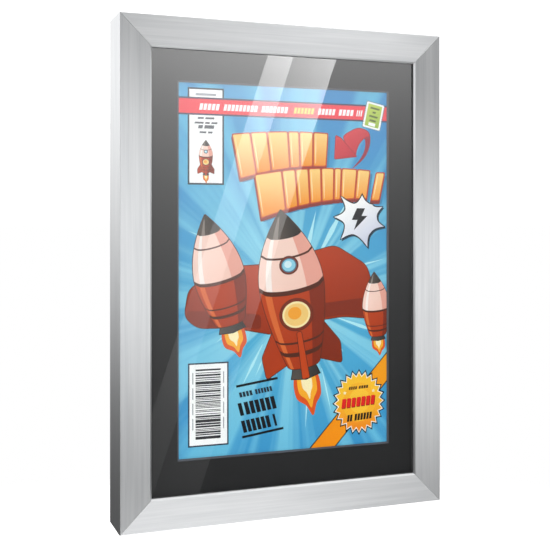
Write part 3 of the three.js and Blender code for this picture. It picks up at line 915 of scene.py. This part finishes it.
def screw_on(name, node):
    """A pan-head screw with a tapered cross recess, in the place of the CAD one."""
    low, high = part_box(node)
    centre = axis_of(low, high)
    head_r = (high.x - low.x) / 2
    head_h = head_r / 2
    seat = high.y - head_h
    shank_r = 1.5 * MM
    tip = low.y + 2.5 * MM
    profile = [(0.05 * MM, low.y), (shank_r * 0.5, low.y + 1.2 * MM), (shank_r, tip)]
    pitch = 1.2 * MM
    threads = int((seat - 2 * MM - tip) / pitch)
    for i in range(threads):
        start = tip + i * pitch
        profile += [(shank_r * 0.8, start + 0.35 * pitch), (shank_r, start + 0.7 * pitch)]
    profile += [(shank_r * 0.8, seat - 1.2 * MM), (shank_r * 0.8, seat), (head_r * 0.97, seat)]
    rim_h = 0.18 * head_h
    for angle in np.linspace(0, math.pi / 2, 9)[1:-1]:
        profile.append((head_r * math.cos(angle) ** 0.8, seat + rim_h + (head_h - rim_h) * math.sin(angle)))
    profile.append((0.05 * MM, high.y))
    screw = skin(name, lathe_rings(profile, centre))
    point_outwards(screw)
    arm = head_r * 0.62
    for half_x, half_z in ((arm, arm * 0.16), (arm * 0.16, arm)):
        rings = []
        for share, y in ((1.0, high.y + 1 * MM), (1.0, high.y - 0.1 * MM), (0.55, high.y - head_h * 0.75)):
            corners = block(-half_x, -half_z, half_x, half_z) * share
            rings.append([centre + Vector((x, y, z)) for x, z in corners])
        cutter = skin(name + "_cutter", rings, smooth=False)
        point_outwards(cutter)
        carve(screw, cutter)
    return screw


def stadium(width, length, inset, steps=24):
    """The rim of a round-ended button about its pivot, reaching along +Z, moved in by `inset`."""
    r = width / 2 - inset
    far = length - width
    rim = []
    for start, middle in ((math.pi, 0), (0, far)):
        for a in np.linspace(start, start + math.pi, steps + 1):
            rim.append((r * math.cos(a), middle + r * math.sin(a)))
    return rim


def turn_button(place_name):
    """A stamped turn button with eased rims and a raised boss round its hole."""
    node = "turn_button_" + place_name
    low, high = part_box(node)
    joint = next(j for j in frame["joints"] if j["name"] == node + "_spin")
    pivot = Vector(joint["pos_m"])
    away = axis_of(low, high) - pivot
    reach = Vector((away.x, 0, away.z)).normalized()
    size = high - low
    length, width = max(size.x, size.z), min(size.x, size.z)
    hole_r = 1.9 * MM
    ease = 0.3 * MM

    def ring(points, y):
        side = Vector((reach.z, 0, -reach.x))
        return [Vector((pivot.x, y, pivot.z)) + side * a + reach * b for a, b in points]

    def round_ring(radius, y):
        rim = stadium(width, length, 0)
        angles = [math.atan2(b, a) for a, b in rim]
        return ring([(radius * math.cos(a), radius * math.sin(a)) for a in angles], y)

    front, rear = low.y, high.y
    panel = rear - 0.25 * MM
    rings = [
        round_ring(hole_r, front),
        ring(stadium(width, length, ease), front),
        ring(stadium(width, length, 0.1 * ease), front + 0.4 * ease),
        ring(stadium(width, length, 0), front + ease),
        ring(stadium(width, length, 0), panel - ease),
        ring(stadium(width, length, 0.3 * ease), panel - 0.3 * ease),
        ring(stadium(width, length, ease), panel),
        round_ring(hole_r + 1.7 * MM, panel),
        round_ring(hole_r + 1.2 * MM, rear),
        round_ring(hole_r + 0.15 * MM, rear),
        round_ring(hole_r, rear - 0.15 * MM),
    ]
    return skin("button_" + place_name, rings, ends="joined")


def d_ring(side):
    """The hanger's bent wire ring, round in section, with its joint inside the strap's barrel."""
    node = "hanger_ring_" + side
    low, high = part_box(node)
    wire = (high.y - low.y) / 2
    half = (high.x - low.x) / 2 - wire
    centre = Vector(((low.x + high.x) / 2, (low.y + high.y) / 2, high.z - wire))
    leg = (high.z - low.z) - 2 * wire - half
    corner = 1.6 * MM
    gap = 0.25 * MM
    shoulder = [(gap, 0.0)]
    shoulder += [(half - corner + corner * math.sin(a), -corner + corner * math.cos(a))
                 for a in np.linspace(0, math.pi / 2, 9)]
    bow = [(half * math.cos(a), -leg - half * math.sin(a)) for a in np.linspace(0, math.pi, 33)]
    route = shoulder + bow + [(-x, z) for x, z in reversed(shoulder)]
    rings = []
    for i, (x, z) in enumerate(route):
        before, after = route[max(i - 1, 0)], route[min(i + 1, len(route) - 1)]
        along = Vector((after[0] - before[0], 0, after[1] - before[1])).normalized()
        across = Vector((along.z, 0, -along.x))
        here = centre + Vector((x, 0, z))
        turns = np.arange(16) * math.tau / 16
        rings.append([here + (across * math.cos(a) + Vector((0, 1, 0)) * math.sin(a)) * wire for a in turns])
    return skin("d_ring_" + side, rings)


def bumper(side):
    """A low rubber stud: waisted foot, rounded shoulder and a flat rear with a moulded ring."""
    low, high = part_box("bumper_pad_" + side)
    centre = axis_of(low, high)
    r = (high.x - low.x) / 2
    front, rear = low.y, high.y
    shoulder = 0.9 * MM
    profile = [(0.2 * MM, front), (r * 0.97, front), (r, front + 0.2 * MM), (r, front + 0.6 * MM),
               (r * 0.93, front + 1.0 * MM), (r * 0.9, rear - shoulder)]
    for angle in np.linspace(0, math.pi / 2, 7)[1:]:
        drop = shoulder * (1 - math.sin(angle))
        profile.append((r * 0.9 - shoulder * (1 - math.cos(angle)), rear - drop))
    groove = rear - 0.15 * MM
    profile += [(r * 0.52, rear), (r * 0.48, groove), (r * 0.42, groove), (r * 0.38, rear), (0.2 * MM, rear)]
    return skin("rubber_pad_" + side, lathe_rings(profile, centre, 48))


# ---- corrugated filler pads


def corrugated(number, flute_pitch=7.5 * MM, steps=10):
    """Two flat liners with a fluted sheet between them, its flutes upright."""
    node = f"corrugated_filler_pad_{number}"
    low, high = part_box(node)
    liner = 0.45 * MM
    sheet = 0.35 * MM
    top = liner + sheet / 2
    middle = (low.y + high.y) / 2
    swing = (high.y - low.y) / 2 - top - 0.02 * MM
    flutes = round((high.x - low.x) / flute_pitch)
    count = flutes * steps

    def wave(i):
        return middle + swing * math.cos(math.tau * i / steps)

    def width_at(i):
        return low.x + (high.x - low.x) * i / count

    def layer(name, front, rear):
        outline = [(width_at(i), front(i)) for i in range(count + 1)]
        outline += [(width_at(i), rear(i)) for i in reversed(range(count + 1))]
        size = len(outline)
        vertices = [(x, y, z) for z in (low.z, high.z) for x, y in outline]
        faces = []
        for i in range(count):
            near, far = i, size - 1 - i
            for shift in (0, size):
                faces.append((near + shift, near + 1 + shift, far - 1 + shift, far + shift))
        for i in range(size):
            j = (i + 1) % size
            faces.append((i, j, size + j, size + i))
        return new_piece(name, vertices, faces)

    return [
        layer(f"{node}_front_liner", lambda i: low.y, lambda i: low.y + liner),
        layer(f"{node}_flutes", lambda i: wave(i) - sheet / 2, lambda i: wave(i) + sheet / 2),
        layer(f"{node}_rear_liner", lambda i: high.y - liner, lambda i: high.y),
    ]


# ---- camera, lights and stage

EYE = Vector((-0.2421, -0.65465, 0.0319))
HEADING = math.radians(20.51)


def photo_camera():
    """A level camera to the left of the frame, framed low by a small shift."""
    data = bpy.data.cameras.new("camera")
    data.sensor_width = 36.0
    data.lens = 64.1
    data.shift_y = -0.0933
    camera = bpy.data.objects.new("camera", data)
    camera.location = EYE
    camera.rotation_euler = (math.pi / 2, 0.0, -HEADING)
    bpy.context.scene.collection.objects.link(camera)
    bpy.context.scene.camera = camera


def area_light(name, location, size, power):
    """A square lamp that faces the middle of the frame."""
    data = bpy.data.lights.new(name, "AREA")
    data.size = size
    data.energy = power
    lamp = bpy.data.objects.new(name, data)
    lamp.location = location
    lamp.rotation_euler = (-Vector(location)).to_track_quat("-Z", "Y").to_euler()
    lamp.visible_glossy = False
    bpy.context.scene.collection.objects.link(lamp)


def studio_world():
    """White to the camera. To surfaces it is a studio that is bright overhead, dim at the
    foot of its walls and dimmer still in front, where the reflector cards stand."""
    world = bpy.data.worlds.new("studio")
    world.use_nodes = True
    tree = world.node_tree
    tree.nodes.clear()
    heading = put(tree, "SeparateXYZ", {0: put(tree, "TexCoord").outputs["Generated"]})
    stops = ((-1.0, 1.1), (-0.88, 0.9), (-0.72, 0.3), (-0.45, 0.13), (-0.26, 0.07), (-0.17, 0.22),
             (-0.08, 0.66), (0.02, 1.1), (0.13, 1.45), (0.45, 1.4), (1.0, 1.5))
    brightest = 1.5
    ramp = put(tree, "ValToRGB", {0: spread(tree, heading.outputs["Z"], 0.0, 1.0, -1.0, 1.0)})
    ramp.color_ramp.elements.remove(ramp.color_ramp.elements[0])
    for i, (height, level) in enumerate(stops):
        where = (height + 1) / 2
        stop = ramp.color_ramp.elements[0] if i == 0 else ramp.color_ramp.elements.new(where)
        stop.position = where
        stop.color = (*[level / brightest] * 3, 1.0)
    front = spread(tree, heading.outputs["Y"], 0.06, 1.0, -0.75, -0.45)
    sideways = maths(tree, "ABSOLUTE", heading.outputs["X"])
    flanks = spread(tree, sideways, brightest, 1.3 * brightest, 0.72, 0.9)
    level = maths(tree, "MULTIPLY", maths(tree, "MULTIPLY", ramp.outputs[0], flanks), front)
    rays = put(tree, "LightPath").outputs
    softened = maths(tree, "MULTIPLY", level, spread(tree, rays["Is Diffuse Ray"], 1.0, 0.62))
    strength = maths(tree, "MAXIMUM", softened, rays["Is Camera Ray"])
    background = put(tree, "Background", {"Color": (1, 1, 1, 1), "Strength": strength})
    put(tree, "OutputWorld", {"Surface": background.outputs[0]})
    bpy.context.scene.world = world


def receivers(name, nodes):
    group = bpy.data.collections.new(name)
    for node in nodes:
        group.objects.link(frame["nodes"][node])
    return group


def reflector(name, corners, faces, plane_y, shader, lit):
    """A card in front of the frame, drawn where its reflection falls for the camera.

    Its corners are (x, z) on the mirror plane at `plane_y`. The card is that drawing, enlarged
    from the camera's mirror image. It shines on the `lit` collection only and hides nothing."""
    enlarged = 2.6
    mirrored_eye = Vector((EYE.x, 2 * plane_y - EYE.y, EYE.z))
    card = new_piece(name, [(x, plane_y, z) for x, z in corners], faces)
    card.scale = (enlarged,) * 3
    card.location = (1 - enlarged) * mirrored_eye
    card.visible_camera = False
    card.visible_diffuse = False
    card.visible_shadow = False
    card.light_linking.receiver_collection = lit
    dress(card, shader)
    return card


def glow(name, strength):
    """A material that adds light and hides nothing. `strength` makes its socket in the tree."""
    material, tree = new_material(name)
    light = put(tree, "Emission", {"Color": (1, 1, 1, 1), "Strength": strength(tree)})
    clear = put(tree, "BsdfTransparent")
    surface(tree, put(tree, "AddShader", {0: clear.outputs[0], 1: light.outputs[0]}))
    return material


def window_glare(lit):
    """The slanting bands that the glazing mirrors: four strips, all fading downwards. Each strip is
    its left and right edges and their levels, at the height `datum`."""
    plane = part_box("acrylic_glazing")[0].y
    top, bottom, datum = 0.22, -0.24, 0.136
    slope = 0.338
    fade = 0.084
    reflectance = 0.11
    strips = (
        (-0.200, -0.018, 0.16, 0.38),
        (-0.018, 0.0006, 0.74, 0.88),
        (0.0006, 0.0324, 0.52, 0.74),
        (0.0324, 0.300, 0.21, 0.16),
    )
    corners, faces, levels = [], [], []
    for left, right, start, end in strips:
        first = len(corners)
        for x, z in block(left, bottom, right, top):
            corners.append((x - slope * (datum - z), z))
            levels.append((start if x == left else end) / reflectance)
        faces.append(tuple(range(first, first + 4)))

    def strength(tree):
        level = put(tree, "Attribute", attribute_name="level").outputs["Fac"]
        fading = maths(tree, "DIVIDE", maths(tree, "SUBTRACT", distance_along(tree, "Z"), datum), fade)
        return maths(tree, "MULTIPLY", level, maths(tree, "EXPONENT", fading))

    card = reflector("glare_card", corners, faces, plane, glow("glare", strength), lit)
    attribute = card.data.attributes.new("level", "FLOAT", "POINT")
    attribute.data.foreach_set("value", levels)


def soft_lamps(lit):
    """Soft oval lamps that the moulding's front faces mirror: a faint large one, two at eye
    level, one above and one below."""
    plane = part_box("rail_cladding_left")[0].y
    for name, centre, radii, level in (
        ("lamp_all_round", (-0.12, -0.10), (0.44, 0.42), 0.52),
        ("lamp_left", (-0.16, 0.02), (0.24, 0.15), 1.15),
        ("lamp_right", (0.16, -0.035), (0.24, 0.15), 1.15),
        ("lamp_high", (0.06, 0.31), (0.17, 0.13), 3.0),
        ("lamp_low", (-0.05, -0.31), (0.20, 0.13), 2.8),
    ):
        rim = oval(*centre, *radii)

        def strength(tree, centre=centre, radii=radii, level=level):
            squares = []
            for axis, middle, radius in zip("XZ", centre, radii):
                off = maths(tree, "SUBTRACT", distance_along(tree, axis), middle)
                share = maths(tree, "DIVIDE", off, radius)
                squares.append(maths(tree, "MULTIPLY", share, share))
            inner = maths(tree, "ADD", *squares)
            return spread(tree, inner, level, 0.0, 0.25, 1.0)

        reflector(name, rim, [range(len(rim))], plane, glow(name, strength), lit)


def pale_floor():
    """A round pale floor below the hanging frame, which fades out at its rim."""
    level = cad_box[0].z - 0.30
    radius = 1.3
    rim = oval(0, 0, radius, radius, steps=64)
    floor = new_piece("floor", [(x, y, 0) for x, y in rim], [range(len(rim))])
    floor.location.z = level
    material, tree = new_material("floor")
    reach = put(tree, "VectorMath", {0: place(tree)}, operation="LENGTH").outputs["Value"]
    matt = put(tree, "BsdfDiffuse", {"Color": (0.95, 0.95, 0.95, 1.0)})
    clear = put(tree, "BsdfTransparent")
    fade = spread(tree, reach, 0.0, 1.0, 0.45 * radius, 0.98 * radius)
    surface(tree, put(tree, "MixShader", {0: fade, 1: matt.outputs[0], 2: clear.outputs[0]}))
    dress(floor, material)
    floor.visible_glossy = False


# ---- assembly

photo_camera()
bpy.context.scene.view_settings.view_transform = "Standard"

AXES = {"level": 0, "upright": 2}
METAL = {way: brushed_metal("brushed_metal_" + way, along) for way, along in AXES.items()}
WOOD = {way: raw_wood("raw_wood_" + way, along) for way, along in AXES.items()}
FOAM = mottled("white_foam", "#f4f4f1", "#dededa", 1.5 * MM, 0.85, 0.05 * MM)
BOARD = mottled("white_board", "#f4f3ee", "#e4e2da", 8 * MM, 0.6, 0.01 * MM)
CARD = mottled("brown_card", "#c39a69", "#a57c4d", (0.8 * MM, 0.8 * MM, 14 * MM), 0.85, 0.05 * MM, "#7d5c36")
COVER_STOCK = mottled("cover_stock", "#f2f1ec", "#e2e0d8", 5 * MM, 0.45, 0.01 * MM)
PAGES = stacked_pages("page_paper", "#ece8da", "#ddd6c2", 0.09 * MM)
ZINC = zinc_steel()
RUBBER = pad_rubber()

for side in SIDES:
    way = "level" if side in ("bottom", "top") else "upright"
    dress(frame["nodes"]["rail_cladding_" + side], METAL[way])
    dress(frame["nodes"]["rail_core_" + side], WOOD[way])
    dress(frame["nodes"]["spacer_strip_" + side], FOAM)
    soften("rail_cladding_" + side, 0.12 * MM)
    soften("spacer_strip_" + side, 0.25 * MM)
for node, material in (
    ("acrylic_glazing", clear_acrylic()),
    ("mat_board", charcoal_mat()),
    ("comic_cover", COVER_STOCK),
    ("comic_page_block", PAGES),
    ("comic_support_board", BOARD),
    ("foam_backing_board", FOAM),
    ("back_panel", hardboard()),
):
    dress(frame["nodes"][node], material)
soften("back_panel", 0.3 * MM)
soften("foam_backing_board", 0.3 * MM)
for node, made in frame["nodes"].items():
    if node.startswith(("v_nail", "comic_staple", "hanger_strap")):
        dress(made, ZINC)
        soften(node, 0.1 * MM)

cover_low, cover_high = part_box("comic_cover")
COVER = draw_cover((cover_high.x - cover_low.x) / 2 / MM, (cover_high.z - cover_low.z) / 2 / MM)
PRINT_T = 0.03 * MM
printed = print_cover(COVER, cover_low.y - 2 * PRINT_T, PRINT_T)
dress(printed, printed_cover())
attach(printed, "frame")

for place_name in ("bottom", "right_lower", "right_upper", "top", "left_upper", "left_lower"):
    node = "turn_button_" + place_name
    stands_for(turn_button(place_name), ZINC, node + "_body", node)
    node = "turn_button_screw_" + place_name
    stands_for(screw_on("button_screw_" + place_name, node), ZINC, "frame", node)

for side in ("left", "right"):
    stands_for(d_ring(side), ZINC, f"hanger_ring_{side}_body", "hanger_ring_" + side)
    node = "hanger_screw_" + side
    stands_for(screw_on("strap_screw_" + side, node), ZINC, "frame", node)
    stands_for(bumper(side), RUBBER, "frame", "bumper_pad_" + side)

for number in (1, 2):
    for layer in corrugated(number):
        stands_for(layer, CARD, "frame", f"corrugated_filler_pad_{number}")

studio_world()
pale_floor()
area_light("key", (-0.9, -1.6, 1.2), 1.4, 28)
area_light("fill", (1.3, -1.5, 0.5), 1.2, 16)
area_light("top", (0.0, 0.2, 1.8), 2.0, 30)
area_light("rear", (0.5, 1.7, 0.9), 1.2, 16)
window_glare(receivers("glazing_only", ["acrylic_glazing"]))
soft_lamps(receivers("moulding_only", ["rail_cladding_" + side for side in SIDES]))
